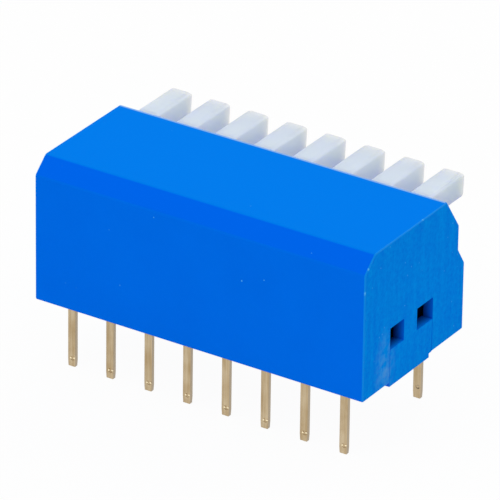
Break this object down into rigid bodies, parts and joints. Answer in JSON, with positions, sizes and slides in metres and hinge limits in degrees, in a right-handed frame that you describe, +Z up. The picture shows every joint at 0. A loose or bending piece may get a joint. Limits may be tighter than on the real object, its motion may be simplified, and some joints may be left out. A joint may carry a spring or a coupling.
{
  "type": "right-angle piano dip switch",
  "caption": "Right-angle piano-style DIP switch: a row of small white rocking levers in a blue moulded housing with two rows of flat board pins.",
  "frame": {"origin": "middle of the terminal field on the board surface, at the face of the foot under the base", "axes": "+X along the row of switches, +Y from the plain front face out past the lever tips, +Z up from the board"},
  "size_m": [0.0214, 0.0119, 0.0126],
  "materials": {
    "housing": "satin moulded blue polyester",
    "lever": "satin moulded white nylon",
    "contact": "gold-plated spring bronze",
    "terminal": "pale tinned brass strip"
  },
  "bodies": {
    "housing": {"cover": "housing", "base": "housing", "terminal_front_1": "terminal", "terminal_front_2": "terminal", "terminal_front_3": "terminal", "terminal_front_4": "terminal", "terminal_front_5": "terminal", "terminal_front_6": "terminal", "terminal_front_7": "terminal", "terminal_front_8": "terminal", "terminal_back_1": "terminal", "terminal_back_2": "terminal", "terminal_back_3": "terminal", "terminal_back_4": "terminal", "terminal_back_5": "terminal", "terminal_back_6": "terminal", "terminal_back_7": "terminal", "terminal_back_8": "terminal"},
    "switch_1": {"lever_1": "lever", "contact_1": "contact"},
    "switch_2": {"lever_2": "lever", "contact_2": "contact"},
    "switch_3": {"lever_3": "lever", "contact_3": "contact"},
    "switch_4": {"lever_4": "lever", "contact_4": "contact"},
    "switch_5": {"lever_5": "lever", "contact_5": "contact"},
    "switch_6": {"lever_6": "lever", "contact_6": "contact"},
    "switch_7": {"lever_7": "lever", "contact_7": "contact"},
    "switch_8": {"lever_8": "lever", "contact_8": "contact"}
  },
  "joints": [
    {"name": "lever_1_hinge", "type": "hinge", "parent": "housing", "child": "switch_1", "pos_m": [-0.00889, 0, 0.00625], "axis": [1, 0, 0], "range_deg": [-22, 0]},
    {"name": "lever_2_hinge", "type": "hinge", "parent": "housing", "child": "switch_2", "pos_m": [-0.00635, 0, 0.00625], "axis": [1, 0, 0], "range_deg": [-22, 0]},
    {"name": "lever_3_hinge", "type": "hinge", "parent": "housing", "child": "switch_3", "pos_m": [-0.00381, 0, 0.00625], "axis": [1, 0, 0], "range_deg": [-22, 0]},
    {"name": "lever_4_hinge", "type": "hinge", "parent": "housing", "child": "switch_4", "pos_m": [-0.00127, 0, 0.00625], "axis": [1, 0, 0], "range_deg": [-22, 0]},
    {"name": "lever_5_hinge", "type": "hinge", "parent": "housing", "child": "switch_5", "pos_m": [0.00127, 0, 0.00625], "axis": [1, 0, 0], "range_deg": [-22, 0]},
    {"name": "lever_6_hinge", "type": "hinge", "parent": "housing", "child": "switch_6", "pos_m": [0.00381, 0, 0.00625], "axis": [1, 0, 0], "range_deg": [-22, 0]},
    {"name": "lever_7_hinge", "type": "hinge", "parent": "housing", "child": "switch_7", "pos_m": [0.00635, 0, 0.00625], "axis": [1, 0, 0], "range_deg": [-22, 0]},
    {"name": "lever_8_hinge", "type": "hinge", "parent": "housing", "child": "switch_8", "pos_m": [0.00889, 0, 0.00625], "axis": [1, 0, 0], "range_deg": [-22, 0]}
  ]
}
